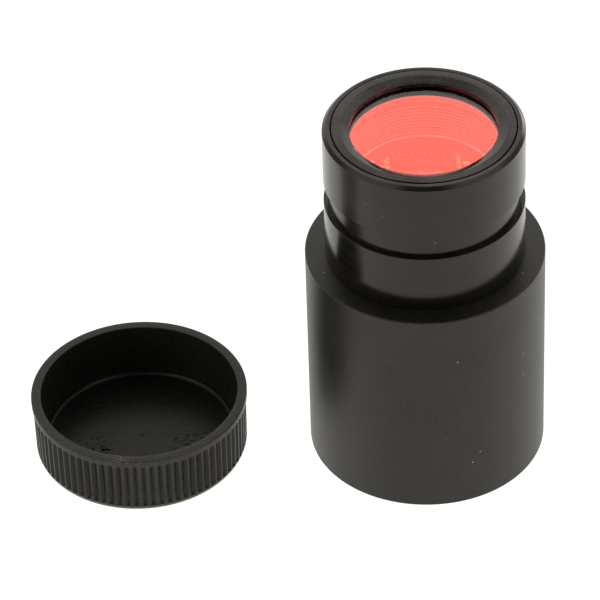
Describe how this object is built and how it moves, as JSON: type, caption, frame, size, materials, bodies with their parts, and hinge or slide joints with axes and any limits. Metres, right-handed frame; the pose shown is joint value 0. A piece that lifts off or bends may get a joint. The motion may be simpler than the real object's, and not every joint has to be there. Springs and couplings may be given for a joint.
{
  "type": "guide camera",
  "caption": "Cylindrical telescope guide camera with a 31.7 mm push-in barrel, coral-coated infrared filter, rear sockets and a ribbed dust cap.",
  "frame": {"origin": "centre of the camera's rear face, on the optical axis; the camera stands on this face", "axes": "+Z along the optical axis towards the barrel's front; -X towards the dust cap, which lies beside the camera; the guide port is on the -Y side of the rear face and the USB socket on the +Y side"},
  "size_m": [0.0832, 0.0383, 0.0619],
  "materials": {
    "matt_anodised": "matt black anodised, fine grain",
    "satin_anodised": "satin black anodised, turned",
    "coated_glass": "polished, coral reflecting infrared-cut coating",
    "clear_glass": "polished",
    "rubber": "matt",
    "circuit_board": "solder mask",
    "gold": "gold plated",
    "tin": "tin plated",
    "steel": "blackened steel",
    "brass": "turned brass",
    "chip_black": "moulded epoxy",
    "grey_ceramic": "matt",
    "white_ceramic": "matt",
    "connector_plastic": "matt moulded",
    "silicon": "polished",
    "amber_film": "satin polyimide film",
    "port_plastic": "matt moulded",
    "cap_plastic": "matt moulded black polyethylene"
  },
  "bodies": {
    "camera": {"board_screw_1": "steel", "board_screw_2": "steel", "board_screw_3": "steel", "board_screw_4": "steel", "board_standoff_1": "brass", "board_standoff_2": "brass", "board_standoff_3": "brass", "board_standoff_4": "brass", "body_shell": "matt_anodised", "clock_crystal": "tin", "flex_connector_lower": "connector_plastic", "flex_connector_upper": "connector_plastic", "frame_memory_chip": "chip_black", "guide_port_contacts": "gold", "guide_port_socket": "port_plastic", "guide_relay_1": "chip_black", "guide_relay_2": "chip_black", "guide_relay_3": "chip_black", "guide_relay_4": "chip_black", "nosepiece": "satin_anodised", "port_board": "circuit_board", "power_inductor": "chip_black", "processor_board": "circuit_board", "processor_capacitor_1": "white_ceramic", "processor_capacitor_2": "white_ceramic", "rear_cover": "matt_anodised", "rear_cover_screw_1": "steel", "rear_cover_screw_2": "steel", "rear_cover_screw_3": "steel", "rear_cover_screw_4": "steel", "rear_seal": "rubber", "sensor_board": "circuit_board", "sensor_capacitor_1": "white_ceramic", "sensor_capacitor_2": "white_ceramic", "sensor_capacitor_3": "white_ceramic", "sensor_capacitor_4": "white_ceramic", "sensor_contacts": "gold", "sensor_cover_glass": "clear_glass", "sensor_die": "silicon", "sensor_flex": "amber_film", "sensor_ground_ring": "tin", "sensor_lock_ring": "matt_anodised", "sensor_package": "grey_ceramic", "stack_header": "chip_black", "stack_socket": "chip_black", "usb_controller_chip": "chip_black", "usb_socket_shell": "tin", "usb_socket_tongue": "connector_plastic", "voltage_regulator": "chip_black"},
    "filter_seal": {"filter_seal": "rubber"},
    "filter_cell": {"filter_ring": "satin_anodised", "filter_glass": "coated_glass", "filter_retainer": "matt_anodised"},
    "dust_cap": {"dust_cap": "cap_plastic"}
  },
  "joints": [
    {"name": "filter_travel", "type": "slide", "parent": "camera", "child": "filter_seal", "axis": [0, 0, 1], "range_m": [0, 0.0036]},
    {"name": "filter_turn", "type": "hinge", "parent": "filter_seal", "child": "filter_cell", "pos_m": [0, 0, 0.0595], "axis": [0, 0, 1], "range_deg": [0, 2160]},
    {"name": "cap_lift", "type": "slide", "parent": "camera", "child": "dust_cap", "axis": [0, 0, 1], "range_m": [0, 0.08]}
  ],
  "couplings": [
    {"joint": "filter_travel", "follows": "filter_turn", "m_per_rad": 0.00009549}
  ]
}
